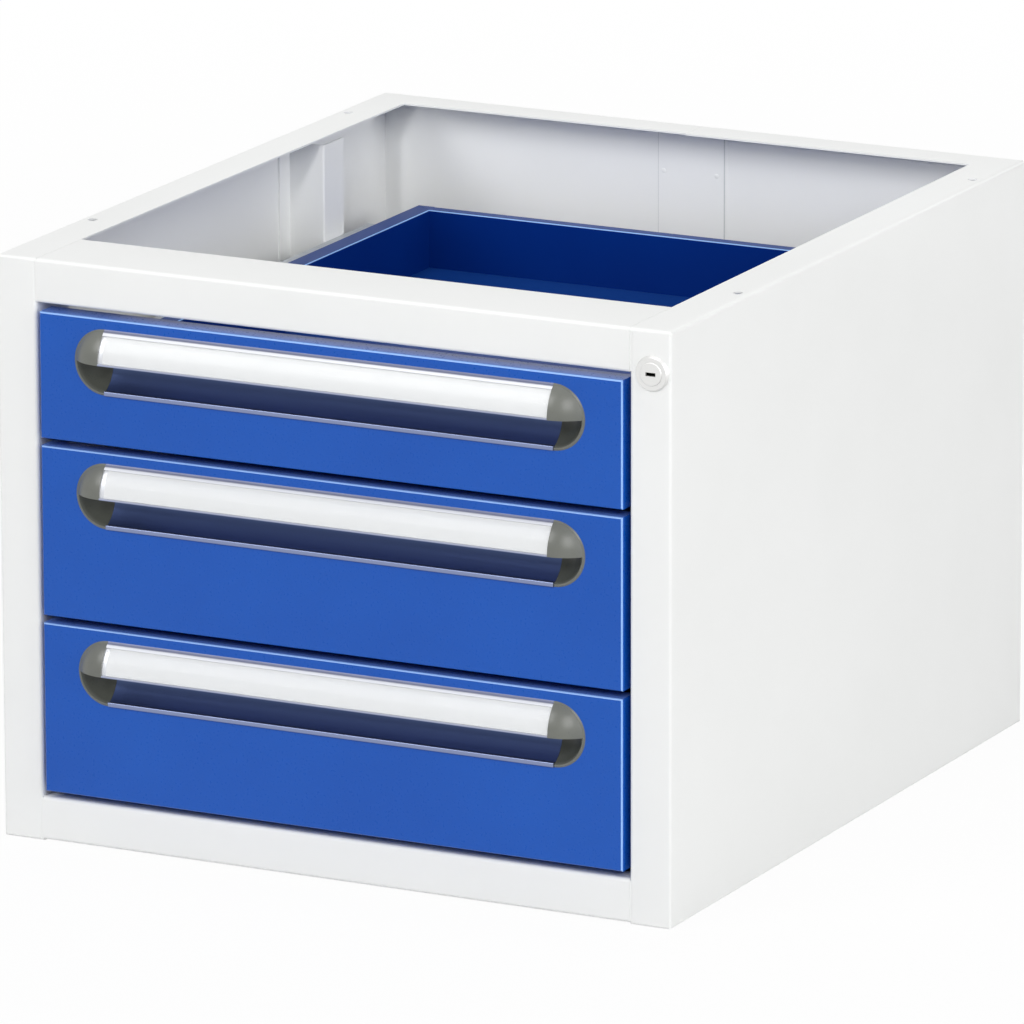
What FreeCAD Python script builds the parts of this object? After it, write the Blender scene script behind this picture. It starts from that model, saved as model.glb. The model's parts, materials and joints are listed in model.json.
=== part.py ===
import FreeCAD, Part
import os
from collections import namedtuple
from math import asin, cos, hypot, pi, sqrt, tan

# Under-bench drawer unit: an open-topped casing of folded steel that bolts up under a worktop,
# three drawers on telescopic slides, flush handles with a label bar, and one lock
# in the right column that holds every drawer through a rising bar.
# Millimetres. X is to the right, Y runs from the front to the back, Z is up.
# Inside this file y = 0 is the face of the columns and z = 0 is the bottom of the casing.

Vector = FreeCAD.Vector

# Casing
casing_width = 490.0
casing_depth = 550.0
casing_height = 395.0
casing_sheet = 1.2
casing_bend = 2.5
column_width = 29.5
column_return = 45.0
column_lip = 12.0
side_flange = 29.5
front_flange = 63.0
front_flange_lip = 12.0
rear_flange = 27.0
rear_flange_step = 1.5
bottom_flange = 22.0
sheet_joint = 0.2

# Front rails between the columns
top_rail_height = 29.5
bottom_rail_height = 30.5
bottom_rail_lift = 1.0
rail_return = 18.0
rail_lip = 8.0

# Lapped seam in the rear wall
lap_start = 19.0
lap_width = 50.0
lap_joggle = 2.0
lap_edge_gap = 1.0
flange_seam = 2.0
lap_end_gap = 1.0

# Fixing holes in the top flanges
mount_hole_radius = 3.25
mount_hole_edge = 8.5
mount_hole_front = 115.0
mount_hole_rear = 70.0

# Base panel and rear posts
base_sheet = 1.2
base_edge = 12.0
base_clearance = 0.4
post_sheet = 1.5
post_bend = 1.5
post_rear_gap = 145.0
post_foot = 16.0
post_face = 27.0
post_top_gap = 6.0

# Drawer fronts
drawer_gap = 5.0
drawer_shares = (3, 4, 4)
front_side_gap = 3.7
front_proud = 3.0
front_thickness = 17.0
front_sheet = 1.0
front_bend = 1.6
front_back_lip = 25.0

# Drawer trays
tray_sheet = 1.0
tray_bend = 1.0
tray_rear_gap = 36.0
tray_floor_lift = 9.5
tray_rim_drop = 34.5
side_rim = 14.0
rear_rim = 10.0
rear_rim_lip = 9.0
tray_flange_drop = 38.0
tray_front_top = 8.0
mitre_slit = 0.5

# Telescopic slides
slide_thickness = 15.0
slide_height = 30.0
slide_sheet = 1.5
slide_front_gap = 4.0
slide_rear_gap = 82.0
slide_rim_gap = 5.0
slide_lip_gap = 0.6
slide_stop_height = 12.0
middle_rail_inset = 2.0
middle_rail_web = 2.0
middle_rail_flange = 3.0
middle_rail_gap = 0.3
middle_rail_side_gap = 0.4

# Handles
handle_drop = 29.0
handle_side_gap = 26.3
handle_height = 44.4
handle_rim = 1.0
handle_rim_proud = 0.8
handle_lip_proud = 1.6
handle_lip_height = 3.2
handle_neck = 2.4
cutout_clearance = 0.3
bar_reach = 10.4
bar_thickness = 2.6
pocket_depth = 12.5
pocket_wall = 1.2
pocket_top_margin = 3.4
pocket_top_radius = 5.0
label_recess = 1.1
label_cover = 0.5
label_cover_inset = 0.1
label_edge = 0.2
label_low = 1.2
label_high_margin = 2.2
cap_joint = 0.1
cap_tongue_length = 8.0
cap_tongue_gap = 0.3

# Lock
lock_edge = 13.5
lock_drop = 28.5
rosette_radius = 11.75
rosette_thickness = 2.2
barrel_radius = 9.0
barrel_length = 22.0
barrel_clearance = 0.1
rosette_edge = 1.2
plug_radius = 7.7
plug_proud = 0.6
plug_edge = 0.4
plug_clearance = 0.05
plug_square = 7.0
plug_tail = 4.6
keyway_length = 7.0
keyway_width = 2.4
keyway_depth = 9.0
nut_across = 21.6
nut_thickness = 4.0
cam_thickness = 2.0
cam_gap = 0.4
cam_radius = 8.0
cam_width = 11.0
cam_pin_radius = 2.0
cam_square_clearance = 0.1
cam_start = pi / 4

# Lock bar, its guides and the drawer catches
bar_cam_gap = 2.55
bar_sheet = 2.0
bar_edge_gap = 0.8
bar_past_lock = 2.0
bar_tail_width = 10.0
bar_tail_length = 22.0
bar_slot_clearance = 0.5
bar_slot_wall = 3.0
bar_seat = 0.3
tooth_reach = 7.5
tooth_height = 8.0
tooth_rise = 1.0
tooth_slot_clearance = 0.8
guide_sheet = 2.0
guide_bend = 2.0
guide_lead = 11.0
guide_lip_gap = 2.8
guide_drop = 16.0
guide_clearance = 0.3
lower_guide_drop = 12.0
upper_guide_drop = 30.0
catch_sheet = 1.5
catch_gap = 1.0
catch_rise = 1.5
catch_height = 8.0
catch_side_gap = 3.0

# Sizes that follow from the ones above
half_width = casing_width / 2
opening_half = half_width - column_width
inner_half = half_width - casing_sheet
inner_rear = casing_depth - casing_sheet
opening_low = bottom_rail_height
opening_high = casing_height - top_rail_height
drawer_module = (opening_high - opening_low - drawer_gap) / sum(drawer_shares)
front_half = opening_half - front_side_gap
front_face = -front_proud
front_back = front_face + front_thickness
tray_back_of_front = front_back + tray_sheet
tray_rear = casing_depth - tray_rear_gap
tray_half = opening_half - slide_thickness
tray_inner_half = tray_half - side_rim
slide_front = front_back + slide_front_gap
slide_length = casing_depth - slide_front - slide_rear_gap
slide_middle = opening_half - slide_thickness / 2
slide_lip = (slide_thickness - slide_lip_gap) / 2
base_top = casing_sheet + base_sheet
post_front = casing_depth - post_rear_gap
mount_hole_spacing = casing_depth - mount_hole_front - mount_hole_rear
lap_face = inner_rear - casing_sheet
front_reach = front_proud + bar_reach
origin_y = (casing_depth - front_reach) / 2

# Handle sizes, measured from the middle of the handle
rim_half = handle_height / 2
neck_half = rim_half - handle_rim - cutout_clearance
cutout_half = rim_half - handle_rim
handle_half = front_half - handle_side_gap
cap_centre = handle_half - rim_half
bar_face = front_face - bar_reach
pocket_back = front_face + pocket_depth
bowl_depth = pocket_depth + handle_rim_proud
pocket_low = neck_half - pocket_wall / 2
pocket_high = neck_half - pocket_top_margin
pocket_radius = (bowl_depth ** 2 + pocket_low ** 2) / (2 * bowl_depth)
bar_rise = bar_reach - handle_rim_proud
bar_top = neck_half
bar_radius = (bar_rise ** 2 + bar_top ** 2) / (2 * bar_rise)
bar_centre = bar_face + bar_radius
label_high = bar_top - label_high_margin
shell_radius = pocket_radius + pocket_wall
shell_low = pocket_back - pocket_radius + sqrt(shell_radius ** 2 - neck_half ** 2)

# Lock sizes
lock_x = half_width - lock_edge
lock_z = casing_height - lock_drop
lock_centre = Vector(lock_x, 0, lock_z)
cam_front = barrel_length + plug_clearance + cam_gap
bar_front = cam_front + cam_thickness + bar_cam_gap
guide_front = bar_front - guide_lead
guide_depth = column_return - casing_sheet - guide_lip_gap - guide_front
catch_reach = slide_thickness - catch_side_gap
bar_travel = cam_radius * sqrt(2)
bar_left = opening_half + casing_sheet + bar_edge_gap
bar_right = lock_x + bar_past_lock
bar_width = bar_right - bar_left
pin_rest_x = lock_x - cam_radius * cos(cam_start)
pin_rest_z = lock_z - cam_radius * cos(cam_start)
pin_far_x = lock_x - cam_radius

Drawer = namedtuple("Drawer", "number low high")


def stack_of_drawers():
    """The drawers from the top down; each front takes its share of the opening."""
    drawers = []
    high = opening_high - drawer_gap
    for number, share in enumerate(drawer_shares, start=1):
        low = high - share * drawer_module + drawer_gap
        drawers.append(Drawer(number, low, high))
        high = low - drawer_gap
    return drawers


def rim_of(drawer):
    return drawer.high - tray_rim_drop


def floor_of(drawer):
    return drawer.low + tray_floor_lift


def handle_of(drawer):
    return drawer.high - handle_drop


def slide_top_of(drawer):
    return rim_of(drawer) - slide_rim_gap


def tooth_low_of(drawer):
    return rim_of(drawer) + tooth_rise


def catch_low_of(drawer):
    return tooth_low_of(drawer) + tooth_height + catch_rise


# Drawing helpers

plane_normals = {"XY": Vector(0, 0, 1), "YZ": Vector(1, 0, 0), "XZ": Vector(0, 1, 0)}


def point_in(plane, u, v, level):
    """The point (u, v) of a plane that lies at the given level along the plane's normal."""
    if plane == "XY":
        return Vector(u, v, level)
    if plane == "YZ":
        return Vector(level, u, v)
    return Vector(u, level, v)


def corner_arc(before, here, after):
    """Start, middle and end of the arc that rounds the corner here, a (u, v, radius)."""
    u, v, radius = here
    if radius == 0:
        return (u, v), None, (u, v)
    back = (before[0] - u, before[1] - v)
    ahead = (after[0] - u, after[1] - v)
    back_unit = (back[0] / hypot(*back), back[1] / hypot(*back))
    ahead_unit = (ahead[0] / hypot(*ahead), ahead[1] / hypot(*ahead))
    bisector = (back_unit[0] + ahead_unit[0], back_unit[1] + ahead_unit[1])
    middle_unit = (bisector[0] / hypot(*bisector), bisector[1] / hypot(*bisector))
    half_sine = sqrt((1 - back_unit[0] * ahead_unit[0] - back_unit[1] * ahead_unit[1]) / 2)
    half_cosine = sqrt(1 - half_sine ** 2)
    tangent = radius * half_cosine / half_sine
    reach = radius / half_sine - radius
    start = (u + back_unit[0] * tangent, v + back_unit[1] * tangent)
    middle = (u + middle_unit[0] * reach, v + middle_unit[1] * reach)
    end = (u + ahead_unit[0] * tangent, v + ahead_unit[1] * tangent)
    return start, middle, end


def outline(corners, plane, level):
    """Closed wire through (u, v, radius) corners, each rounded by its own radius."""
    arcs = []
    for index, here in enumerate(corners):
        after = corners[(index + 1) % len(corners)]
        arcs.append(corner_arc(corners[index - 1], here, after))
    edges = []
    for index, (start, middle, end) in enumerate(arcs):
        if middle is not None:
            rounding = [point_in(plane, u, v, level) for u, v in (start, middle, end)]
            edges.append(Part.Arc(*rounding).toShape())
        run_start = point_in(plane, *end, level)
        run_end = point_in(plane, *arcs[(index + 1) % len(arcs)][0], level)
        if run_start.distanceToPoint(run_end) > 1e-6:
            edges.append(Part.makeLine(run_start, run_end))
    return Part.Wire(edges)


def prism(corners, plane, low, high):
    """The outline of the corners, carried along the plane's normal from low to high."""
    face = Part.Face(outline(corners, plane, low))
    return face.extrude(plane_normals[plane] * (high - low))


def folded(path, thickness, bend):
    """Corners of a folded sheet. One face follows the path and the sheet lies to its left;
    bend is the outer radius of every fold, and the inside of a fold is sharp."""
    units = []
    for start, end in zip(path, path[1:]):
        length = hypot(end[0] - start[0], end[1] - start[1])
        units.append(((end[0] - start[0]) / length, (end[1] - start[1]) / length))
    near = []
    far = []
    for index, (u, v) in enumerate(path):
        arriving = units[max(index - 1, 0)]
        leaving = units[min(index, len(units) - 1)]
        mitre = thickness / (1 + arriving[0] * leaving[0] + arriving[1] * leaving[1])
        turn = arriving[0] * leaving[1] - arriving[1] * leaving[0]
        near_radius = bend if turn > 0 else 0
        far_radius = bend if turn < 0 else 0
        near.append((u, v, near_radius))
        far_u = u - (arriving[1] + leaving[1]) * mitre
        far_v = v + (arriving[0] + leaving[0]) * mitre
        far.append((far_u, far_v, far_radius))
    return near + far[::-1]


def sheet_part(path, plane, low, high, thickness, bend):
    return prism(folded(path, thickness, bend), plane, low, high)


def block(x_range, y_range, z_range):
    corner = Vector(x_range[0], y_range[0], z_range[0])
    sizes = [ends[1] - ends[0] for ends in (x_range, y_range, z_range)]
    return Part.makeBox(*sizes, corner)


def rounded_block(x_range, y_range, z_range, radius):
    """A block whose edges along X, Y and Z are all rounded, as the meeting of two prisms."""
    plan = rectangle(x_range, y_range, radius)
    side = rectangle(y_range, z_range, radius)
    return prism(plan, "XY", *z_range).common(prism(side, "YZ", *x_range))


def rectangle(u_range, v_range, radius):
    """Corners of a rectangle, each rounded by the radius."""
    places = [(u_range[0], v_range[0]), (u_range[1], v_range[0]),
              (u_range[1], v_range[1]), (u_range[0], v_range[1])]
    return [(u, v, radius) for u, v in places]


def turned(corners, base, axis):
    """A body of revolution: corners are (radius, height, rounding), heights run along axis."""
    face = Part.Face(outline(corners, "XZ", 0))
    solid = face.revolve(Vector(0, 0, 0), Vector(0, 0, 1), 360)
    solid.Placement = FreeCAD.Placement(base, FreeCAD.Rotation(Vector(0, 0, 1), axis))
    return solid


def rod(base, axis, radius, length):
    return Part.makeCylinder(radius, length, base, axis)


def mirrored(shape):
    return shape.mirror(Vector(0, 0, 0), Vector(1, 0, 0))


def joined(first, *others):
    return first.fuse(list(others)).removeSplitter()


# Casing

def casing_skin():
    inner = block((-inner_half, inner_half), (casing_sheet, inner_rear),
                  (casing_sheet, casing_height - casing_sheet))
    return casing_envelope().cut(inner)


def casing_envelope():
    """The casing's outside: its folds along all three directions, as the meeting of prisms."""
    across = rectangle((-half_width, half_width), (0, casing_height), casing_bend)
    solid = rounded_block((-half_width, half_width), (0, casing_depth), (0, casing_height),
                          casing_bend)
    return solid.common(prism(across, "XZ", 0, casing_depth))


def column_path():
    """The right column in plan, from the lip behind its inner wall round to the side wall."""
    return [
        (opening_half + column_lip, column_return),
        (opening_half, column_return),
        (opening_half, 0),
        (half_width, 0),
    ]


def flange_ring(seam_x, rear_depth):
    """The top and bottom flanges of the right half, which stop at the seam in the rear wall."""
    skin = casing_skin()
    levels = (
        ((casing_height - casing_bend, casing_height), side_flange, rear_depth),
        ((0, casing_bend), bottom_flange, bottom_flange),
    )
    pieces = []
    for z_range, side_width, depth in levels:
        side = block((half_width - side_width, half_width), (0, casing_depth), z_range)
        rear = block((seam_x, half_width), (casing_depth - depth, casing_depth), z_range)
        pieces.append(skin.common(side.fuse(rear)))
    return pieces


def mount_holes():
    x = half_width - mount_hole_edge
    low = casing_height - casing_bend
    holes = []
    for y in (mount_hole_front, mount_hole_front + mount_hole_spacing):
        holes.append(rod(Vector(x, y, low), Vector(0, 0, 1), mount_hole_radius, 2 * casing_bend))
    return holes


def casing_left():
    """Left half: column, side wall and the flat part of the rear wall, drawn on the right."""
    rear_end = -(lap_start - lap_edge_gap)
    path = column_path() + [(half_width, casing_depth), (rear_end, casing_depth)]
    walls = sheet_part(path, "XY", 0, casing_height, casing_sheet, casing_bend)
    seam_x = -(flange_seam - sheet_joint / 2)
    relief = []
    for z_range in ((casing_height - casing_bend - sheet_joint, casing_height),
                    (0, casing_bend + sheet_joint)):
        relief.append(block((rear_end, seam_x), (inner_rear - casing_bend, casing_depth), z_range))
    walls = walls.common(casing_envelope()).cut(relief)
    half = joined(walls, *flange_ring(seam_x, rear_flange)).cut(mount_holes())
    return mirrored(half)


def casing_right():
    """Right half: its rear wall steps in behind the left half's and carries the seam."""
    side = column_path() + [(half_width, casing_depth), (lap_start + lap_joggle, casing_depth)]
    walls = sheet_part(side, "XY", 0, casing_height, casing_sheet, casing_bend)
    lap = sheet_part([
        (lap_start + lap_joggle + casing_bend, casing_depth),
        (lap_start + lap_joggle, casing_depth),
        (lap_start, inner_rear),
        (lap_start - lap_width, inner_rear),
    ], "XY", casing_bend + lap_end_gap, casing_height - casing_bend - lap_end_gap,
        casing_sheet, casing_bend)
    flanges = flange_ring(flange_seam + sheet_joint / 2, rear_flange + rear_flange_step)
    half = joined(walls.common(casing_envelope()), lap, *flanges)
    openings = mount_holes() + tooth_slots() + [lock_hole()]
    return half.cut(openings)


def tooth_slots():
    """Slots in the right column's inner wall for the teeth of the lock bar."""
    slots = []
    for drawer in stack_of_drawers():
        low = tooth_low_of(drawer) - tooth_slot_clearance
        high = tooth_low_of(drawer) + tooth_height + bar_travel + tooth_slot_clearance
        y_range = (bar_front - tooth_slot_clearance, bar_front + bar_sheet + tooth_slot_clearance)
        x_range = (opening_half - casing_sheet, opening_half + 2 * casing_sheet)
        slots.append(block(x_range, y_range, (low, high)))
    return slots


def lock_hole():
    base = Vector(lock_x, -casing_sheet, lock_z)
    return rod(base, Vector(0, 1, 0), barrel_radius + barrel_clearance, 3 * casing_sheet)


def top_front_rail():
    path = [
        (front_flange, casing_height - front_flange_lip),
        (front_flange, casing_height),
        (0, casing_height),
        (0, opening_high),
        (rail_return, opening_high),
        (rail_return, opening_high + rail_lip),
    ]
    end = opening_half - sheet_joint
    return sheet_part(path, "YZ", -end, end, casing_sheet, casing_bend)


def bottom_front_rail():
    path = [
        (rail_return, opening_low - rail_lip),
        (rail_return, opening_low),
        (0, opening_low),
        (0, bottom_rail_lift),
        (rail_return, bottom_rail_lift),
        (rail_return, bottom_rail_lift + rail_lip),
    ]
    end = opening_half - sheet_joint
    return sheet_part(path, "YZ", -end, end, casing_sheet, casing_bend)


def base_panel():
    """Floor of the casing: it lies on the bottom flanges and reaches to the bottom rail."""
    half = inner_half - base_clearance
    low = casing_sheet
    path = [(-half, low + base_edge), (-half, low), (half, low), (half, low + base_edge)]
    panel = sheet_part(path, "XZ", column_return + base_clearance, lap_face - base_clearance,
                       base_sheet, casing_bend)
    tongue_half = opening_half - base_clearance
    tongue = block((-tongue_half, tongue_half), (rail_return + base_clearance, column_return + casing_bend),
                   (low, base_top))
    return joined(panel, tongue)


def rear_post():
    """Z-shaped post on the side wall whose face carries the rear ends of the cabinet rails."""
    path = [
        (inner_half, post_front - post_foot),
        (inner_half, post_front),
        (opening_half + post_sheet, post_front),
        (opening_half + post_sheet, post_front + post_face),
    ]
    low = casing_sheet + base_edge + base_clearance
    return sheet_part(path, "XY", low, casing_height - post_top_gap, post_sheet, post_bend)


# Telescopic slides, drawn on the right

def cabinet_rail(drawer):
    """Channel fixed to the column and the rear post, open towards the drawer."""
    top = slide_top_of(drawer)
    bottom = top - slide_height
    tip = opening_half - slide_lip
    path = [(tip, bottom), (opening_half, bottom), (opening_half, top), (tip, top)]
    rear = slide_front + slide_length
    channel = sheet_part(path, "XZ", slide_front, rear, slide_sheet, 0)
    return joined(channel, rail_stop((tip, opening_half), rear - slide_sheet, drawer))


def drawer_rail(drawer):
    """Channel fixed to the tray's flange, open towards the casing."""
    top = slide_top_of(drawer)
    bottom = top - slide_height
    tip = tray_half + slide_lip
    path = [(tip, top), (tray_half, top), (tray_half, bottom), (tip, bottom)]
    rear = slide_front + slide_length
    channel = sheet_part(path, "XZ", slide_front, rear, slide_sheet, 0)
    return joined(channel, rail_stop((tray_half, tip), slide_front, drawer))


def rail_stop(x_range, front, drawer):
    """Tab across a channel that the middle rail comes to rest against."""
    middle = slide_top_of(drawer) - slide_height / 2
    z_range = (middle - slide_stop_height / 2, middle + slide_stop_height / 2)
    return block(x_range, (front, front + slide_sheet), z_range)


def middle_rail(drawer):
    """I-section rail that runs in both channels and moves half as far as the drawer."""
    middle = slide_top_of(drawer) - slide_height / 2
    high = slide_height / 2 - slide_sheet - middle_rail_gap
    inner = high - middle_rail_flange
    side = slide_thickness / 2 - slide_sheet - middle_rail_side_gap
    web = middle_rail_web / 2
    quarter_section = [(side, high), (side, inner), (web, inner)]
    section = quarter_section + [(x, -z) for x, z in quarter_section[::-1]]
    section += [(-x, -z) for x, z in quarter_section]
    section += [(-x, z) for x, z in quarter_section[::-1]]
    placed = [(slide_middle + x, middle + z, 0) for x, z in section]
    front = slide_front + middle_rail_inset
    rear = slide_front + slide_length - middle_rail_inset
    return prism(placed, "XZ", front, rear)


# Drawers

def drawer_front(drawer):
    """Pan with folded front edges, a back lip all round and a cut-out for the handle."""
    plan = [
        (-front_half, front_face, front_bend),
        (front_half, front_face, front_bend),
        (front_half, front_back, 0),
        (-front_half, front_back, 0),
    ]
    side = [
        (front_face, drawer.low, front_bend),
        (front_back, drawer.low, 0),
        (front_back, drawer.high, 0),
        (front_face, drawer.high, front_bend),
    ]
    outside = prism(plan, "XY", drawer.low, drawer.high)
    outside = outside.common(prism(side, "YZ", -front_half, front_half))
    inside = block((front_sheet - front_half, front_half - front_sheet),
                   (front_face + front_sheet, front_back - front_sheet),
                   (drawer.low + front_sheet, drawer.high - front_sheet))
    window = block((-front_half + front_back_lip, front_half - front_back_lip),
                   (front_back - 2 * front_sheet, front_back + front_sheet),
                   (drawer.low + front_back_lip, drawer.high - front_back_lip))
    cutout = stadium(handle_of(drawer), cutout_half, front_face - front_sheet,
                     front_face + 2 * front_sheet)
    return outside.cut([inside, window, cutout])


def stadium(middle, half_height, near, far):
    """Long round-ended body about the handle's middle line, from near to far along Y."""
    half = cap_centre + half_height
    corners = [
        (-half, middle - half_height, half_height),
        (half, middle - half_height, half_height),
        (half, middle + half_height, half_height),
        (-half, middle + half_height, half_height),
    ]
    return prism(corners, "XZ", near, far)


def drawer_tray(drawer):
    """Tub with rims that turn out and down over the slides, and a front wall up to the front."""
    rim = rim_of(drawer)
    floor = floor_of(drawer)
    flange_low = rim - tray_flange_drop
    section = [
        (tray_half, flange_low),
        (tray_half, rim),
        (tray_inner_half, rim),
        (tray_inner_half, floor),
        (-tray_inner_half, floor),
        (-tray_inner_half, rim),
        (-tray_half, rim),
        (-tray_half, flange_low),
    ]
    tub = sheet_part(section, "XZ", front_back, tray_rear, tray_sheet, tray_bend)
    wall_rear = tray_rear - rear_rim + tray_sheet
    behind = block((-tray_inner_half - tray_sheet, tray_inner_half + tray_sheet),
                   (wall_rear, tray_rear + tray_sheet),
                   (floor - 2 * tray_sheet, rim + tray_sheet))
    rear_path = [
        (tray_rear, rim - rear_rim_lip),
        (tray_rear, rim),
        (wall_rear - tray_sheet, rim),
        (wall_rear - tray_sheet, floor - tray_sheet),
    ]
    rear = sheet_part(rear_path, "YZ", -tray_inner_half - tray_sheet, tray_inner_half + tray_sheet,
                      tray_sheet, tray_bend)
    front = block((-tray_half, tray_half), (front_back, tray_back_of_front),
                  (floor - tray_sheet, drawer.high - tray_front_top))
    return joined(tub.cut(behind), rear, front).cut(rim_mitres(rim))


def rim_mitres(rim):
    """Open slits where the rear rim meets the side rims."""
    inner = (tray_inner_half + 2 * tray_sheet, tray_rear - rear_rim + 2 * tray_sheet)
    outer = (tray_half - 2 * tray_sheet, tray_rear - 2 * tray_sheet)
    corners = [
        (inner[0], inner[1], 0),
        (inner[0] + mitre_slit, inner[1], 0),
        (outer[0] + mitre_slit, outer[1], 0),
        (outer[0], outer[1], 0),
    ]
    slit = prism(corners, "XY", rim - 2 * tray_sheet, rim + tray_sheet)
    return [slit, mirrored(slit)]


def drawer_catch(drawer):
    """Angle behind the tray's front wall whose tongue stands behind the lock bar's tooth."""
    tongue_front = bar_front + bar_sheet + catch_gap
    path = [
        (tray_half - side_rim, tray_back_of_front),
        (tray_half, tray_back_of_front),
        (tray_half, tongue_front),
        (tray_half + catch_reach, tongue_front),
    ]
    low = catch_low_of(drawer)
    return sheet_part(path, "XY", low, low + catch_height, catch_sheet, 0)


# Handles

def swell(face, height, radius):
    """Corner that gives an arc which is upright at the middle and ends at the height."""
    return face, radius * tan(asin(height / radius) / 2), radius


def handle_profile(drawer):
    """Extruded bar: label bar above, finger pocket below and behind, lip along the bottom."""
    middle = handle_of(drawer)
    rim_face = front_face - handle_rim_proud
    lip_face = front_face - handle_lip_proud
    lip_top = handle_lip_height - rim_half
    neck_back = front_face + handle_neck
    inner_radius = bar_radius - bar_thickness
    inner_face = bar_face + bar_thickness
    inner_top = bar_centre - inner_radius * cos(asin(pocket_high / inner_radius))
    lip_back = pocket_back - pocket_radius * (1 - cos(asin(lip_top / pocket_radius)))
    corners = [
        (front_face, -rim_half, 0),
        (lip_face, -rim_half, handle_lip_proud / 2),
        (lip_face, lip_top, handle_lip_proud / 2),
        (lip_back, lip_top, 0),
        swell(pocket_back, lip_top, pocket_radius),
        (pocket_back, pocket_high, pocket_top_radius),
        (inner_top, pocket_high, 0),
        swell(inner_face, pocket_high, inner_radius),
        (inner_face, 0, 0),
        (bar_face, 0, 0),
        swell(bar_face, bar_top, bar_radius),
        (rim_face, bar_top, 0),
        (front_face, rim_half, 0),
        (front_face, neck_half, 0),
        (neck_back, neck_half, 0),
        (neck_back + pocket_wall, pocket_high + pocket_wall, 0),
        (pocket_back + pocket_wall, pocket_high + pocket_wall, 0),
        swell(pocket_back + pocket_wall, -neck_half, shell_radius),
        (shell_low, -neck_half, 0),
        (front_face, -neck_half, 0),
    ]
    placed = [(y, z + middle, radius) for y, z, radius in corners]
    end = cap_centre - cap_joint
    profile = prism(placed, "YZ", -end, end)
    recess = bar_band(middle, bar_radius - label_recess, bar_radius + label_recess,
                      label_low, label_high, end + cap_joint)
    return profile.cut(recess)


def bar_band(middle, inner, outer, low, high, end):
    """Curved strip along the label bar between two radii and two heights."""
    points = []
    for radius, heights in ((inner, (low, high)), (outer, (high, low))):
        for z in (heights[0], (low + high) / 2, heights[1]):
            points.append(Vector(-end, bar_centre - sqrt(radius ** 2 - z ** 2), middle + z))
    edges = [
        Part.Arc(*points[:3]).toShape(),
        Part.makeLine(points[2], points[3]),
        Part.Arc(*points[3:]).toShape(),
        Part.makeLine(points[5], points[0]),
    ]
    return Part.Face(Part.Wire(edges)).extrude(Vector(2 * end, 0, 0))


def label_cover_strip(drawer):
    """Clear strip that snaps into the bar's recess and leaves room behind it for a card."""
    outer = bar_radius - label_cover_inset
    return bar_band(handle_of(drawer), outer - label_cover, outer, label_low + label_edge,
                    label_high - label_edge, cap_centre - cap_joint)


def quarter(corners, middle, angle):
    """A quarter turn of corners (radius, y, rounding) about the right end's middle."""
    placed = [(cap_centre + radius, y, rounding) for radius, y, rounding in corners]
    face = Part.Face(outline(placed, "XY", middle))
    return face.revolve(Vector(cap_centre, 0, middle), Vector(0, 1, 0), angle)


def handle_cap(drawer):
    """Moulded right end: a quarter dome that carries the bar's curve round, over a bowl."""
    middle = handle_of(drawer)
    back = pocket_back + pocket_wall
    rim_face = front_face - handle_rim_proud
    flange = [
        (0, back, 0),
        (neck_half, back, 0),
        (neck_half, front_face, 0),
        (rim_half, front_face, 0),
        (rim_half - handle_rim, rim_face, 0),
    ]
    dome_face, dome_reach, dome_radius = swell(bar_face, bar_top, bar_radius)
    dome = flange + [
        (bar_top, rim_face, 0),
        (dome_reach, dome_face, dome_radius),
        (0, bar_face, 0),
    ]
    bowl_back, bowl_reach, bowl_radius = swell(pocket_back, pocket_low, pocket_radius)
    bowl = flange + [
        (pocket_low, rim_face, 0),
        (bowl_reach, bowl_back, bowl_radius),
        (0, pocket_back, 0),
    ]
    tongue = block((cap_centre - cap_tongue_length, cap_centre + cap_tongue_gap),
                   (front_face, pocket_back - cap_tongue_gap),
                   (middle + pocket_top_radius, middle + pocket_high - cap_tongue_gap))
    tongue = tongue.makeFillet(pocket_top_radius - cap_tongue_gap, upper_rear_edges(tongue))
    return joined(quarter(dome, middle, -90), quarter(bowl, middle, 90), tongue)


def upper_rear_edges(solid):
    """The edge along X at the top of the solid's back."""
    box = solid.BoundBox
    found = []
    for edge in solid.Edges:
        centre = edge.CenterOfMass
        if abs(centre.z - box.ZMax) < 1e-6 and abs(centre.y - box.YMax) < 1e-6:
            found.append(edge)
    return found


# Lock

def lock_housing():
    """Rosette and barrel in one piece, bored for the plug."""
    bore = plug_radius + plug_clearance
    corners = [
        (bore, -rosette_thickness, 0),
        (rosette_radius - rosette_edge, -rosette_thickness, 0),
        (rosette_radius, 0, 0),
        (barrel_radius, 0, 0),
        (barrel_radius, barrel_length, 0),
        (bore, barrel_length, 0),
    ]
    return turned(corners, lock_centre, Vector(0, 1, 0))


def lock_plug():
    """Turning core with a level keyway in its face and a square tail for the cam."""
    face = -rosette_thickness - plug_proud
    rear = barrel_length + plug_clearance
    corners = [
        (0, face, 0),
        (plug_radius - plug_edge, face, 0),
        (plug_radius, face + plug_edge, 0),
        (plug_radius, rear, 0),
        (0, rear, 0),
    ]
    core = turned(corners, lock_centre, Vector(0, 1, 0))
    side = plug_square / 2
    tail = block((lock_x - side, lock_x + side), (rear, rear + plug_tail),
                 (lock_z - side, lock_z + side))
    length = keyway_length / 2
    width = keyway_width / 2
    keyway = block((lock_x - length, lock_x + length), (face, face + keyway_depth),
                   (lock_z - width, lock_z + width))
    return joined(core, tail).cut(keyway)


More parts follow.
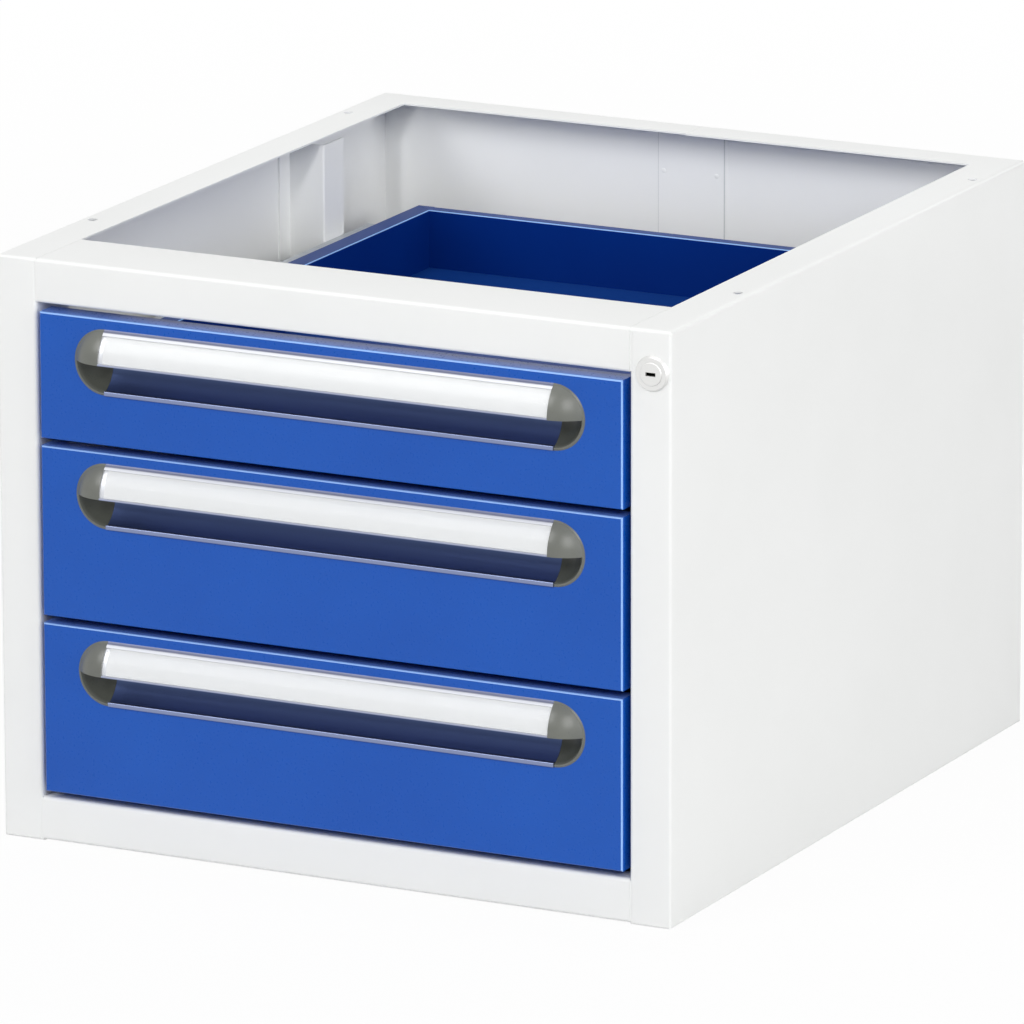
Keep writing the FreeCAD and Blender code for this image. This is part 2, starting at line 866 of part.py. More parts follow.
def lock_nut():
    """Hexagon nut behind the column's face."""
    corner_radius = nut_across / sqrt(3)
    corners = [
        (nut_across / 2, -corner_radius / 2, 0),
        (nut_across / 2, corner_radius / 2, 0),
        (0, corner_radius, 0),
        (-nut_across / 2, corner_radius / 2, 0),
        (-nut_across / 2, -corner_radius / 2, 0),
        (0, -corner_radius, 0),
    ]
    placed = [(lock_x + x, lock_z + z, radius) for x, z, radius in corners]
    nut = prism(placed, "XZ", casing_sheet, casing_sheet + nut_thickness)
    bore = rod(Vector(lock_x, 0, lock_z), Vector(0, 1, 0), barrel_radius + barrel_clearance,
               barrel_length)
    return nut.cut(bore)


def lock_cam():
    """Arm on the plug's tail; its pin lifts the bar as the key turns."""
    rear = cam_front + cam_thickness
    half = cam_width / 2
    reach = cam_radius + cam_pin_radius + bar_slot_clearance
    arm = prism([
        (-half, -half, half),
        (cam_radius, -half, 0),
        (reach, -cam_pin_radius, 0),
        (reach, cam_pin_radius, 0),
        (cam_radius, half, 0),
        (-half, half, half),
    ], "XZ", cam_front, rear)
    side = (plug_square + cam_square_clearance) / 2
    pin_end = bar_front + bar_sheet + catch_gap
    pin = rod(Vector(cam_radius, cam_front, 0), Vector(0, 1, 0), cam_pin_radius,
              pin_end - cam_front)
    cam = joined(arm, pin)
    cam.rotate(Vector(0, 0, 0), Vector(0, 1, 0), 180 - cam_start * 180 / pi)
    cam.translate(Vector(lock_x, 0, lock_z))
    hole = block((lock_x - side, lock_x + side), (cam_front - cam_gap, rear + cam_gap),
                 (lock_z - side, lock_z + side))
    return cam.cut(hole)


def lower_guide_top():
    return rim_of(stack_of_drawers()[-1]) - lower_guide_drop


def upper_guide_top():
    return rim_of(stack_of_drawers()[0]) - upper_guide_drop


def lock_bar():
    """Flat bar in the right column with a tooth for each drawer and a level slot for the pin.
    Its shoulder stands on the lower guide, so its own weight keeps it unlocked."""
    slot_half = cam_pin_radius + bar_slot_clearance
    shoulder = lower_guide_top() + bar_seat
    y_range = (bar_front, bar_front + bar_sheet)
    top = pin_rest_z + slot_half + bar_slot_wall
    strip = block((bar_left, bar_right), y_range, (shoulder, top))
    tail_inset = (bar_width - bar_tail_width) / 2
    tail = block((bar_left + tail_inset, bar_right - tail_inset), y_range,
                 (shoulder - bar_tail_length, shoulder))
    teeth = []
    for drawer in stack_of_drawers():
        low = tooth_low_of(drawer)
        teeth.append(block((opening_half - tooth_reach, bar_left), y_range,
                           (low, low + tooth_height)))
    slot = prism([
        (pin_far_x - slot_half, pin_rest_z - slot_half, 0),
        (pin_rest_x + slot_half, pin_rest_z - slot_half, 0),
        (pin_rest_x + slot_half, pin_rest_z + slot_half, 0),
        (pin_far_x - slot_half, pin_rest_z + slot_half, 0),
    ], "XZ", bar_front - bar_sheet, bar_front + 2 * bar_sheet)
    return joined(strip, tail, *teeth).cut(slot)


def bar_guide(top, notch_left, notch_right):
    """Bracket on the side wall with a notch that keeps the bar upright."""
    path = [(inner_half, top - guide_drop), (inner_half, top), (bar_left, top)]
    bracket = sheet_part(path, "XZ", guide_front, guide_front + guide_depth, guide_sheet, guide_bend)
    notch = block((notch_left - guide_clearance, notch_right + guide_clearance),
                  (bar_front - guide_clearance, bar_front + bar_sheet + guide_clearance),
                  (top - 2 * guide_sheet, top + guide_sheet))
    return bracket.cut(notch)


def lock_bar_guides():
    tail_inset = (bar_width - bar_tail_width) / 2
    upper = bar_guide(upper_guide_top(), bar_left, bar_right)
    lower = bar_guide(lower_guide_top(), bar_left + tail_inset, bar_right - tail_inset)
    return Part.makeCompound([upper, lower])


# Assembly

def casing_parts():
    return {
        "casing_left": casing_left(),
        "casing_right": casing_right(),
        "top_front_rail": top_front_rail(),
        "bottom_front_rail": bottom_front_rail(),
        "base_panel": base_panel(),
        "rear_post_left": mirrored(rear_post()),
        "rear_post_right": rear_post(),
    }


def lock_parts():
    return {
        "lock_housing": lock_housing(),
        "lock_nut": lock_nut(),
        "lock_plug": lock_plug(),
        "lock_cam": lock_cam(),
        "lock_bar": lock_bar(),
        "lock_bar_guides": lock_bar_guides(),
    }


def slide_parts(drawer):
    number = drawer.number
    return {
        f"cabinet_rail_{number}_left": mirrored(cabinet_rail(drawer)),
        f"cabinet_rail_{number}_right": cabinet_rail(drawer),
        f"middle_rail_{number}_left": mirrored(middle_rail(drawer)),
        f"middle_rail_{number}_right": middle_rail(drawer),
        f"drawer_{number}_rail_left": mirrored(drawer_rail(drawer)),
        f"drawer_{number}_rail_right": drawer_rail(drawer),
    }


def drawer_parts(drawer):
    name = f"drawer_{drawer.number}"
    cap = handle_cap(drawer)
    return {
        f"{name}_tray": drawer_tray(drawer),
        f"{name}_front": drawer_front(drawer),
        f"{name}_handle": handle_profile(drawer),
        f"{name}_label_cover": label_cover_strip(drawer),
        f"{name}_handle_ends": Part.makeCompound([mirrored(cap), cap]),
        f"{name}_catch": drawer_catch(drawer),
    }


def all_parts():
    parts = casing_parts()
    parts.update(lock_parts())
    for drawer in stack_of_drawers():
        parts.update(slide_parts(drawer))
        parts.update(drawer_parts(drawer))
    return parts


def export_all():
    """Write each part with the origin under the middle of the unit's bounding box."""
    os.makedirs("parts", exist_ok=True)
    for name, shape in all_parts().items():
        placed = shape.copy()
        placed.translate(Vector(0, -origin_y, 0))
        placed.exportStep(f"parts/{name}.step")


export_all()
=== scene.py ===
import json
import math

import bmesh
import bpy
from mathutils import Matrix, Vector


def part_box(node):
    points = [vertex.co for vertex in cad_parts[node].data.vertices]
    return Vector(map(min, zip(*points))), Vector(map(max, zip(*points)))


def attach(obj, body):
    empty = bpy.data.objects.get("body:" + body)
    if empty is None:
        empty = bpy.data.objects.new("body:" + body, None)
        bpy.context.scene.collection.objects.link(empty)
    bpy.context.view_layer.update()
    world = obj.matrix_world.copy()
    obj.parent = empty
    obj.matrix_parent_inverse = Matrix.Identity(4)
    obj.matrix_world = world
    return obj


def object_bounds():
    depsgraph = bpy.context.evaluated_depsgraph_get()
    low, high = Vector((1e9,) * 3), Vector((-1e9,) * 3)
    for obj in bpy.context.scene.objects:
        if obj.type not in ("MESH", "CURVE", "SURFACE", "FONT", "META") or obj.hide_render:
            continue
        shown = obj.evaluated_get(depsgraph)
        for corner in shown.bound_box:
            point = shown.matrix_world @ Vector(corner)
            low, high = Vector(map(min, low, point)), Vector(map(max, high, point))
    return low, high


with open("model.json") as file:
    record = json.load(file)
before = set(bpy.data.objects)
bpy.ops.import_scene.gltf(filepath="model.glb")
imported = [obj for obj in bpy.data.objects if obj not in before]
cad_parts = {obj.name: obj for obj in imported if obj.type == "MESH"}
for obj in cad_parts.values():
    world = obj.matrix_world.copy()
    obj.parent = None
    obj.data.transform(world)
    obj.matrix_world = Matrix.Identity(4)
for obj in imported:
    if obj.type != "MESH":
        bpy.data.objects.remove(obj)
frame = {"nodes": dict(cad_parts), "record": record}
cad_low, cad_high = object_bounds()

# Looks of the under-bench drawer unit: paint, anodised handles, moulded ends, label cards,
# small fasteners, light and camera. Metres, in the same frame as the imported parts.

millimetre = 0.001
picture_size = 1024
drawer_numbers = (1, 2, 3)
sides = {"left": -1, "right": 1}
# Nodes that take a darker copy of their slot's material: painted shade in the trays and inside the
# keyway
shaded_copies = {
    "drawer_1_tray": "tray_shaded_paint",
    "drawer_2_tray": "tray_shaded_paint",
    "drawer_3_tray": "tray_shaded_paint",
    "lock_plug": "plug_nickel",
}

# Colours, linear. Where there are two, a noise mixes a lighter and a darker tone.
casing_white = ((0.885, 0.892, 0.885), (0.868, 0.876, 0.867))
drawer_blue = ((0.003, 0.090, 0.470), (0.002, 0.081, 0.440))
# Painted reflection: a lighter blue on the fronts' upward-facing returns
drawer_top_reflection_blue = (0.100, 0.200, 0.560)
# Painted highlight: a light blue on the fronts' top and right folds
drawer_fold_highlight_blue = (0.28, 0.48, 0.88)
# Trays: a darker copy of the fronts' blue as painted shade, a lighter blue on upward faces as painted
# light, and painted highlights on the folds
tray_shaded_blue = ((0.001, 0.025, 0.195), (0.001, 0.021, 0.175))
tray_top_light_blue = (0.006, 0.042, 0.215)
tray_fold_highlight_blue = (0.30, 0.50, 0.85)
handle_lip_tones = ((0.25, 0.29, 0.45), (0.21, 0.25, 0.40))
handle_bar_tones = ((0.70, 0.71, 0.74), (0.65, 0.66, 0.70))
# Painted shade on the label bar's top edge
handle_bar_edge_shade = (0.120, 0.130, 0.190)
# Painted shade inside the finger pocket, with a painted reflection that turns it greyer towards the top
handle_pocket_shade_low = (0.085, 0.125, 0.320)
handle_pocket_shade_high = (0.110, 0.155, 0.285)
cap_dome_tones = ((0.150, 0.156, 0.138), (0.135, 0.141, 0.125))
# Painted shade down in the caps' bowls
cap_bowl_shade = (0.078, 0.083, 0.071)
cover_tones = ((0.93, 0.95, 0.97), (0.88, 0.91, 0.94))
card_tones = ((0.87, 0.875, 0.87), (0.84, 0.845, 0.84))
nickel_tones = ((0.74, 0.74, 0.73), (0.69, 0.69, 0.68))
nickel_shade = (0.03, 0.03, 0.025)
# Painted shadow lines: grey strips along the rear wall's lapped seam
seam_shadow_tones = ((0.64, 0.66, 0.66), (0.57, 0.59, 0.59))
zinc_tones = ((0.60, 0.62, 0.65), (0.50, 0.52, 0.55))
floor_tones = ((0.80, 0.80, 0.80), (0.79, 0.79, 0.79))

# Grain of the surfaces, in lumps per metre, and the height that its bumps stand for
fine_relief = 0.02 * millimetre
plastic_relief = 0.03 * millimetre
peel_scale = 620.0
cloud_scale = 11.0
handle_line_scale = (6.0, 2400.0, 2400.0)
cover_line_scale = (8.0, 700.0, 700.0)
fibre_scale = (500.0, 900.0, 900.0)
polish_scale = (300.0, 300.0, 2600.0)
rolling_scale = (1400.0, 5.0, 1400.0)
plastic_grain_scale = 1500.0
plastic_tone_scale = 60.0
spangle_scale = 160.0
seam_shadow_scale = 350.0
floor_scale = 3.0

# Where one tone gives way to the next: shares of the node's box, and cosines for directions
pocket_start = (0.44, 0.50)
pocket_rise = (0.10, 0.46)
handle_bar_start = (0.50, 0.55)
handle_edge_start = (0.950, 0.965)
bowl_shade_start = (0.40, 0.52)
# Painted shade: shares of the depth past which the nickel darkens, in the lock housing and inside the
# keyway
housing_shade_start = 0.9
keyway_shade_start = 0.06
shade_end_ratio = 1.3
facing_range = (0.84, 0.92)

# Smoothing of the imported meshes
weld_distance = 0.002 * millimetre
smooth_angle = math.radians(28)

# Camera, as it stood for the photograph
camera_focal_pixels = 10578.0
camera_sensor = 36.0
camera_far_end = 100.0
camera_azimuth = math.radians(26.79)
camera_elevation = math.radians(14.63)
camera_roll = math.radians(-0.14)
camera_offset = Vector((0.00637, 0.01222, 7.0813))
camera_target = Vector((0.0, 0.0067, 0.1975))

# Light
world_strength = 0.23
left_key_place = Vector((-3.5, -5.7, 4.8))
left_key_size = (3.6, 3.6)
left_key_power = 210.0
right_key_place = Vector((3.7, -5.9, 4.0))
right_key_size = (3.6, 3.6)
right_key_power = 188.0
side_place = Vector((6.8, -1.3, 2.4))
side_size = (2.8, 2.8)
side_power = 176.0
top_place = Vector((-0.4, 0.0, 6.0))
top_size = (1.6, 2.4)
top_power = 96.0
wall_place = Vector((0.2, -1.17, 0.755))
wall_target = Vector((0.0, 0.28, 0.357))
wall_size = (0.56, 0.09)
wall_spread = math.radians(4)
wall_power = 0.033
floor_radius = 40.0
floor_sides = 96
floor_white_share = 0.95
floor_near = 0.9
floor_far = 2.6

# Handle: the label bar's curve and the recess that its card lies in
bar_rise = 9.6 * millimetre
bar_top = 20.9 * millimetre
label_recess = 1.1 * millimetre
label_low = 1.2 * millimetre
label_high = 18.7 * millimetre
card_thickness = 0.25 * millimetre
card_gap = 0.1 * millimetre
card_edge = 0.1 * millimetre
card_left_gap = 3.2 * millimetre
card_right_gap = 0.3 * millimetre
card_steps = 14

# Small fasteners
seam_rivet_radius = 1.7 * millimetre
seam_rivet_height = 0.45 * millimetre
seam_rivet_x = (-27.0 * millimetre, 13.4 * millimetre)
seam_rivet_margin = 34.0 * millimetre
lap_depth = 2.4 * millimetre
lap_edge_x = -31.35 * millimetre
lap_bend_x = 19.3 * millimetre
seam_line_width = 0.7 * millimetre
seam_line_depth = 0.5 * millimetre
seam_line_margin = 3.0 * millimetre
joint_width = 1.5 * millimetre
joint_depth = 0.9 * millimetre
joint_recess = 0.35 * millimetre
joint_margin = 1.0 * millimetre
bead_rounding = 0.12 * millimetre
bead_segments = 2
rail_sheet = 1.5 * millimetre
rail_rivet_radius = 3.0 * millimetre
rail_rivet_height = 0.8 * millimetre
rail_rivet_places = (0.08, 0.36, 0.64, 0.92)
screw_radius = 3.6 * millimetre
screw_height = 2.2 * millimetre
screw_recess = 1.3 * millimetre
screw_slot = 0.9 * millimetre
screw_slot_reach = 0.6 * screw_radius
screw_inset = 24.0 * millimetre
screw_places = (-0.15, -0.05, 0.05, 0.15)
tray_sheet = 1.0 * millimetre
head_rings = 5
head_sides = 32
head_sink = 0.25


# Node helpers

def material_tree(name):
    """A new material with a Principled shader, and its node tree."""
    material = bpy.data.materials.new(name)
    material.use_nodes = True
    tree = material.node_tree
    shader = tree.nodes["Principled BSDF"]
    return material, tree, shader


def add_node(tree, kind, **settings):
    node = tree.nodes.new(kind)
    for name, value in settings.items():
        setattr(node, name, value)
    return node


def link(tree, source, target):
    tree.links.new(source, target)


def noise(tree, coordinates, scale, detail=2.0):
    """Noise of the given scale in lumps per metre, as a factor from 0 to 1."""
    node = add_node(tree, "ShaderNodeTexNoise")
    node.inputs["Scale"].default_value = scale
    node.inputs["Detail"].default_value = detail
    link(tree, coordinates, node.inputs["Vector"])
    return node.outputs["Fac"]


def spread(tree, factor, low, high, start=0.3, end=0.7):
    """The factor's middle part, stretched to run from low to high."""
    node = add_node(tree, "ShaderNodeMapRange")
    node.inputs["From Min"].default_value = start
    node.inputs["From Max"].default_value = end
    node.inputs["To Min"].default_value = low
    node.inputs["To Max"].default_value = high
    link(tree, factor, node.inputs["Value"])
    return node.outputs["Result"]


def mix_colours(tree, factor, first, second):
    """The first colour where the factor is 0 and the second where it is 1."""
    node = add_node(tree, "ShaderNodeMix", data_type="RGBA")
    link(tree, factor, node.inputs["Factor"])
    for socket, colour in ((node.inputs["A"], first), (node.inputs["B"], second)):
        if isinstance(colour, tuple):
            socket.default_value = (*colour, 1.0)
        else:
            link(tree, colour, socket)
    return node.outputs["Result"]


def bump(tree, height, strength, distance):
    node = add_node(tree, "ShaderNodeBump")
    node.inputs["Strength"].default_value = strength
    node.inputs["Distance"].default_value = distance
    link(tree, height, node.inputs["Height"])
    return node.outputs["Normal"]


def object_coordinates(tree):
    return add_node(tree, "ShaderNodeTexCoord").outputs["Object"]


def stretched(tree, coordinates, scale):
    """Coordinates scaled apart along X, Y and Z, for grain that runs one way."""
    node = add_node(tree, "ShaderNodeMapping")
    node.inputs["Scale"].default_value = scale
    link(tree, coordinates, node.inputs["Vector"])
    return node.outputs["Vector"]


# Materials

def facing(tree, direction):
    """1 within about 23 degrees of the given direction, falling to 0 at about 33 degrees."""
    along = add_node(tree, "ShaderNodeVectorMath", operation="DOT_PRODUCT")
    link(tree, add_node(tree, "ShaderNodeTexCoord").outputs["Normal"], along.inputs[0])
    along.inputs[1].default_value = Vector(direction).normalized()
    return spread(tree, along.outputs["Value"], 0.0, 1.0, *facing_range)


def powder_coat(name, tones, roughness, refraction, painted_light_places=()):
    """Satin powder coat: a fine orange peel, a faint cloudiness, and painted light: lighter colours
    painted on the folds and faces that face the given directions, as painted highlights and
    reflections."""
    material, tree, shader = material_tree(name)
    place = object_coordinates(tree)
    peel = noise(tree, place, peel_scale)
    clouds = spread(tree, noise(tree, place, cloud_scale, 3.0), 0.0, 1.0)
    base = mix_colours(tree, clouds, *tones)
    # Painted light: a lighter colour on the faces that face each given direction
    for direction, colour in painted_light_places:
        base = mix_colours(tree, facing(tree, direction), base, colour)
    link(tree, base, shader.inputs["Base Color"])
    link(tree, spread(tree, peel, roughness - 0.01, roughness + 0.02), shader.inputs["Roughness"])
    link(tree, bump(tree, peel, 0.04, fine_relief), shader.inputs["Normal"])
    shader.inputs["IOR"].default_value = refraction
    return material


def casing_paint():
    return powder_coat("casing_paint", casing_white, 0.50, 1.5)


def drawer_paint():
    # Painted reflection on the upward returns, and painted highlights on the top and right folds
    return powder_coat("drawer_paint", drawer_blue, 0.28, 1.4,
                       (((0, 0, 1), drawer_top_reflection_blue),
                        ((0, -1, 1), drawer_fold_highlight_blue),
                        ((1, -1, 0), drawer_fold_highlight_blue)))


def tray_shaded_paint():
    """A darker copy of the fronts' blue for the folded trays, as painted shade, with painted light on
    their upward faces and painted highlights on their folds.
    """
    return powder_coat("tray_shaded_paint", tray_shaded_blue, 0.32, 1.18,
                       (((0, 0, 1), tray_top_light_blue),
                        ((0, -1, 1), tray_fold_highlight_blue),
                        ((1, 0, 1), tray_fold_highlight_blue)))


def handle_aluminium():
    """Anodised extrusion: fine drawing lines along X, a tone for the label bar, a darker bluer one for
    the lower lip, painted shade on the bar's top edge, and painted shade inside the finger pocket with
    a painted reflection that turns it greyer towards the top."""
    material, tree, shader = material_tree("handle_aluminium")
    place = object_coordinates(tree)
    lines = noise(tree, stretched(tree, place, handle_line_scale), 1.0, 3.0)
    share = add_node(tree, "ShaderNodeSeparateXYZ")
    link(tree, add_node(tree, "ShaderNodeTexCoord").outputs["Generated"], share.inputs["Vector"])
    depth = spread(tree, share.outputs["Y"], 0.0, 1.0, *pocket_start)
    height = spread(tree, share.outputs["Z"], 0.0, 1.0, *pocket_rise)
    # Painted shade and painted reflection inside the finger pocket
    pocket_shade = mix_colours(tree, height, handle_pocket_shade_low, handle_pocket_shade_high)
    lip = mix_colours(tree, lines, *handle_lip_tones)
    bar = mix_colours(tree, lines, *handle_bar_tones)
    above_lip = spread(tree, share.outputs["Z"], 0.0, 1.0, *handle_bar_start)
    outside = mix_colours(tree, above_lip, lip, bar)
    # Painted shade on the bar's top edge
    bar_edge_shade = spread(tree, share.outputs["Z"], 0.0, 1.0, *handle_edge_start)
    outside = mix_colours(tree, bar_edge_shade, outside, handle_bar_edge_shade)
    link(tree, mix_colours(tree, depth, outside, pocket_shade), shader.inputs["Base Color"])
    shader.inputs["Metallic"].default_value = 1.0
    link(tree, spread(tree, lines, 0.36, 0.48), shader.inputs["Roughness"])
    link(tree, bump(tree, lines, 0.2, fine_relief), shader.inputs["Normal"])
    return material


def cap_plastic():
    """Grey moulding with a fine satin grain, and painted shade darkening it down in the bowl."""
    material, tree, shader = material_tree("cap_plastic")
    place = object_coordinates(tree)
    grain = noise(tree, place, plastic_grain_scale)
    tone = spread(tree, noise(tree, place, plastic_tone_scale), 0.0, 1.0)
    share = add_node(tree, "ShaderNodeSeparateXYZ")
    link(tree, add_node(tree, "ShaderNodeTexCoord").outputs["Generated"], share.inputs["Vector"])
    # Painted shade down in the bowl
    bowl_shade = spread(tree, share.outputs["Y"], 0.0, 1.0, *bowl_shade_start)
    dome = mix_colours(tree, tone, *cap_dome_tones)
    link(tree, mix_colours(tree, bowl_shade, dome, cap_bowl_shade), shader.inputs["Base Color"])
    link(tree, spread(tree, grain, 0.27, 0.35), shader.inputs["Roughness"])
    link(tree, bump(tree, grain, 0.25, plastic_relief), shader.inputs["Normal"])
    return material


def label_cover():
    """Clear strip: mostly see-through, with a gloss of its own and faint drawing lines."""
    material, tree, shader = material_tree("label_cover")
    place = object_coordinates(tree)
    lines = noise(tree, stretched(tree, place, cover_line_scale), 1.0, 2.0)
    link(tree, mix_colours(tree, lines, *cover_tones), shader.inputs["Base Color"])
    link(tree, spread(tree, lines, 0.06, 0.14), shader.inputs["Roughness"])
    shader.inputs["Alpha"].default_value = 0.16
    return material


def card_paper():
    """Smooth white card with a faint fibre."""
    material, tree, shader = material_tree("card_paper")
    place = object_coordinates(tree)
    fibres = noise(tree, stretched(tree, place, fibre_scale), 1.0, 4.0)
    link(tree, mix_colours(tree, fibres, *card_tones), shader.inputs["Base Color"])
    link(tree, spread(tree, fibres, 0.72, 0.85), shader.inputs["Roughness"])
    link(tree, bump(tree, fibres, 0.2, fine_relief), shader.inputs["Normal"])
    return material


def nickel(name, shade_start):
    """Satin nickel plate with a fine polish, and painted shade that darkens it deeper in than the given
    share of the depth.
    """
    material, tree, shader = material_tree(name)
    place = object_coordinates(tree)
    polish = noise(tree, stretched(tree, place, polish_scale), 1.0, 2.0)
    share = add_node(tree, "ShaderNodeSeparateXYZ")
    link(tree, add_node(tree, "ShaderNodeTexCoord").outputs["Generated"], share.inputs["Vector"])
    # Painted shade deeper in than the given share of the depth
    painted_shade = spread(tree, share.outputs["Y"], 0.0, 1.0, shade_start, shade_end_ratio * shade_start)
    plate = mix_colours(tree, polish, *nickel_tones)
    link(tree, mix_colours(tree, painted_shade, plate, nickel_shade), shader.inputs["Base Color"])
    shader.inputs["Metallic"].default_value = 1.0
    link(tree, spread(tree, polish, 0.46, 0.54), shader.inputs["Roughness"])
    return material


def lock_nickel():
    # Painted shade deep in the lock housing
    return nickel("lock_nickel", housing_shade_start)


def plug_nickel():
    """The plug's nickel, with painted shade darkening it inside the keyway."""
    return nickel("plug_nickel", keyway_shade_start)


def seam_shadow_paint():
    """Matt grey paint with a soft mottle, for the strips that are painted shadow lines along the seam.
    """
    material, tree, shader = material_tree("seam_shadow_paint")
    mottle = noise(tree, object_coordinates(tree), seam_shadow_scale)
    link(tree, mix_colours(tree, mottle, *seam_shadow_tones), shader.inputs["Base Color"])
    shader.inputs["Roughness"].default_value = 0.8
    return material


def zinc_steel():
    """Bright zinc plate: soft spangle and rolling lines along the rail."""
    material, tree, shader = material_tree("zinc_steel")
    place = object_coordinates(tree)
    cells = add_node(tree, "ShaderNodeTexVoronoi")
    cells.inputs["Scale"].default_value = spangle_scale
    link(tree, place, cells.inputs["Vector"])
    rolling = noise(tree, stretched(tree, place, rolling_scale), 1.0, 2.0)
    tone = spread(tree, cells.outputs["Distance"], 0.0, 1.0, 0.0, 0.9)
    link(tree, mix_colours(tree, tone, *zinc_tones), shader.inputs["Base Color"])
    shader.inputs["Metallic"].default_value = 1.0
    link(tree, spread(tree, rolling, 0.30, 0.45), shader.inputs["Roughness"])
    link(tree, bump(tree, rolling, 0.15, fine_relief), shader.inputs["Normal"])
    return material


def all_materials():
    makers = (casing_paint, drawer_paint, tray_shaded_paint, handle_aluminium, cap_plastic, label_cover,
              lock_nickel, plug_nickel, zinc_steel)
    return {maker.__name__: maker() for maker in makers}


def paint_nodes(materials):
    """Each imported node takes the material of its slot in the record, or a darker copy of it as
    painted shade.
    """
    slots = {part["node"]: part["material_slot"] for part in frame["record"]["subparts"]}
    for name, node in frame["nodes"].items():
        node.data.materials.clear()
        node.data.materials.append(materials[shaded_copies.get(name, slots[name])])


def smoothing_group(angle):
    """Modifier group: joins split corners and keeps only edges over the angle sharp."""
    group = bpy.data.node_groups.new("smooth_under_angle", "GeometryNodeTree")
    group.interface.new_socket("Geometry", in_out="INPUT", socket_type="NodeSocketGeometry")
    group.interface.new_socket("Geometry", in_out="OUTPUT", socket_type="NodeSocketGeometry")
    start = add_node(group, "NodeGroupInput")
    weld = add_node(group, "GeometryNodeMergeByDistance")
    weld.inputs["Distance"].default_value = weld_distance
    faces = add_node(group, "GeometryNodeSetShadeSmooth", domain="FACE")
    edge_angle = add_node(group, "GeometryNodeInputMeshEdgeAngle")
    smooth = add_node(group, "FunctionNodeCompare", operation="LESS_THAN")
    smooth.inputs["B"].default_value = angle
    edges = add_node(group, "GeometryNodeSetShadeSmooth", domain="EDGE")
    end = add_node(group, "NodeGroupOutput")
    link(group, start.outputs["Geometry"], weld.inputs["Geometry"])
    link(group, weld.outputs["Geometry"], faces.inputs["Geometry"])
    link(group, edge_angle.outputs["Unsigned Angle"], smooth.inputs["A"])
    link(group, faces.outputs["Geometry"], edges.inputs["Geometry"])
    link(group, smooth.outputs["Result"], edges.inputs["Shade Smooth"])
    link(group, edges.outputs["Geometry"], end.inputs["Geometry"])
    return group


def smooth_nodes():
    group = smoothing_group(smooth_angle)
    for node in frame["nodes"].values():
        modifier = node.modifiers.new("smooth_under_angle", "NODES")
        modifier.node_group = group


# Pieces

def piece_from(name, mesh_builder, material, body):
    """An object from a bmesh, finished with a material and carried by a body."""
    mesh = bpy.data.meshes.new(name)
    bmesh.ops.recalc_face_normals(mesh_builder, faces=mesh_builder.faces)
    mesh_builder.to_mesh(mesh)
    mesh_builder.free()
    piece = bpy.data.objects.new(name, mesh)
    bpy.context.scene.collection.objects.link(piece)
    mesh.materials.append(material)
    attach(piece, body)
    return piece


def label_card(number, material):
    """Card in the label bar's recess: it follows the bar's arc and stops short of the left end."""
    handle_low, handle_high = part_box(f"drawer_{number}_handle")
    middle = (handle_low.z + handle_high.z) / 2
    bar_radius = (bar_rise ** 2 + bar_top ** 2) / (2 * bar_rise)
    centre_y = handle_low.y + bar_radius
    back = bar_radius - label_recess + card_gap
    left = handle_low.x + card_left_gap
    right = handle_high.x - card_right_gap
    shape = bmesh.new()
    rows = []
    for step in range(card_steps + 1):
        height = label_low + card_edge + (label_high - label_low - 2 * card_edge) * step / card_steps
        row = []
        for radius in (back, back + card_thickness):
            y = centre_y - math.sqrt(radius ** 2 - height ** 2)
            for x in (left, right):
                row.append(shape.verts.new((x, y, middle + height)))
        rows.append(row)
    for low, high in zip(rows, rows[1:]):
        for a, b in ((0, 1), (1, 3), (3, 2), (2, 0)):
            shape.faces.new((low[a], low[b], high[b], high[a]))
    for row in (rows[0], rows[-1]):
        shape.faces.new((row[0], row[1], row[3], row[2]))
    piece_from(f"label_card_{number}", shape, material, f"drawer_{number}")


def head_outline(radius, height):
    """Half outline of a domed head, from its rim up to its crown: (radius, height) pairs."""
    points = []
    for ring in range(head_rings + 1):
        turn = math.pi / 2 * ring / head_rings
        points.append((radius * math.cos(turn), height * math.sin(turn)))
    return points


def add_head(shape, place, axis, radius, height):
    """A domed head that stands on place and rises along axis."""
    turn = Vector((0, 0, 1)).rotation_difference(Vector(axis)).to_matrix()
    rings = []
    for ring_radius, ring_height in [(radius, -head_sink * height)] + head_outline(radius, height)[:-1]:
        ring = []
        for side in range(head_sides):
            angle = 2 * math.pi * side / head_sides
            point = Vector((ring_radius * math.cos(angle), ring_radius * math.sin(angle), ring_height))
            ring.append(shape.verts.new(place + turn @ point))
        rings.append(ring)
    crown = shape.verts.new(place + turn @ Vector((0, 0, height)))
    for low, high in zip(rings, rings[1:]):
        for side in range(head_sides):
            after = (side + 1) % head_sides
            face = shape.faces.new((low[side], low[after], high[after], high[side]))
            face.smooth = True
    for side in range(head_sides):
        face = shape.faces.new((rings[-1][side], rings[-1][(side + 1) % head_sides], crown))
        face.smooth = True
    shape.faces.new(list(reversed(rings[0])))


def add_cross_recess(shape, place, axis, reach, width, depth):
    """A cross-shaped recess body to be cut from a head."""
    turn = Vector((0, 0, 1)).rotation_difference(Vector(axis)).to_matrix().to_4x4()
    for sizes in ((2 * reach, width, depth), (width, 2 * reach, depth)):
        made = bmesh.ops.create_cube(shape, size=1.0)
        scale = Matrix.Diagonal((*sizes, 1.0))
        bmesh.ops.transform(shape, matrix=Matrix.Translation(place) @ turn @ scale, verts=made["verts"])


